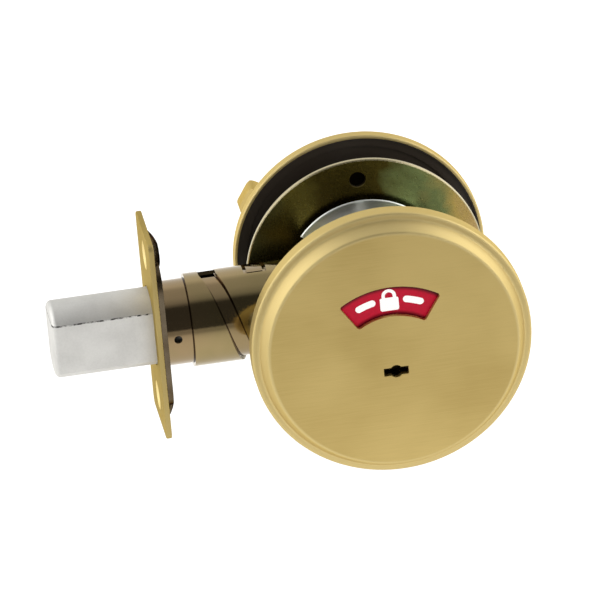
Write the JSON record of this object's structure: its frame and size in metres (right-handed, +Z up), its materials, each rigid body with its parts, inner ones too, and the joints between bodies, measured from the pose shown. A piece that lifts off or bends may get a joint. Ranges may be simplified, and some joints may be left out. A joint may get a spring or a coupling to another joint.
{
  "type": "privacy indicator bolt",
  "caption": "Tubular bolt with a moulded brass indicator rose, a two-colour flag behind a curved window, an emergency key slot, a twist-adjust case and an inside rose with a thumbturn lever.",
  "frame": {"origin": "the bolt's axis where it crosses the axis of the roses and of the door's cross bore", "axes": "+X away from the door's edge (the bolt is thrown towards -X), +Y through the door towards the inside, +Z up"},
  "size_m": [0.1248, 0.0878, 0.075],
  "materials": {
    "satin_brass": "satin brass, brushed across",
    "bright_zinc": "bright zinc plate",
    "yellow_zinc": "yellow passivated zinc plate",
    "satin_steel": "satin nickel-plated steel",
    "black_plastic": "black moulded acetal",
    "flag_enamel": "gloss enamel, red and green halves"
  },
  "bodies": {
    "case": {"indicator_rose": "satin_brass", "outside_housing": "bright_zinc", "faceplate": "satin_brass", "backplate": "bright_zinc", "front_tube": "yellow_zinc", "rear_housing": "yellow_zinc", "mounting_plate": "yellow_zinc", "mounting_screws": "bright_zinc"},
    "spindle": {"emergency_barrel": "satin_brass", "indicator_disc": "flag_enamel", "barrel_clip": "bright_zinc", "tailpiece": "yellow_zinc", "crank": "yellow_zinc", "crank_pin": "satin_steel"},
    "bolt": {"bolt": "satin_steel", "draw_bar": "yellow_zinc", "draw_bar_rivet": "satin_steel"},
    "inside_rose": {"inside_rose": "satin_brass", "rose_liner": "black_plastic", "turn_bush": "black_plastic"},
    "thumbturn": {"thumbturn": "satin_brass", "turn_spindle": "satin_steel", "turn_circlip": "bright_zinc", "friction_washer": "satin_steel", "lever_screw": "satin_steel"}
  },
  "joints": [
    {"name": "rose_seat", "type": "slide", "parent": "case", "child": "inside_rose", "axis": [0, -1, 0], "range_m": [0, 0.0118]},
    {"name": "turn", "type": "hinge", "parent": "inside_rose", "child": "thumbturn", "pos_m": [0, 0.04, -0.0066], "axis": [0, 1, 0], "range_deg": [0, 90]},
    {"name": "spindle_turn", "type": "hinge", "parent": "case", "child": "spindle", "pos_m": [0, 0, -0.0066], "axis": [0, 1, 0], "range_deg": [0, 90]},
    {"name": "bolt_throw", "type": "slide", "parent": "case", "child": "bolt", "axis": [1, 0, 0], "range_m": [0, 0.0254]}
  ],
  "couplings": [
    {"joint": "spindle_turn", "follows": "turn", "ratio": 1},
    {"joint": "bolt_throw", "follows": "turn", "m_per_rad": 0.01617}
  ]
}
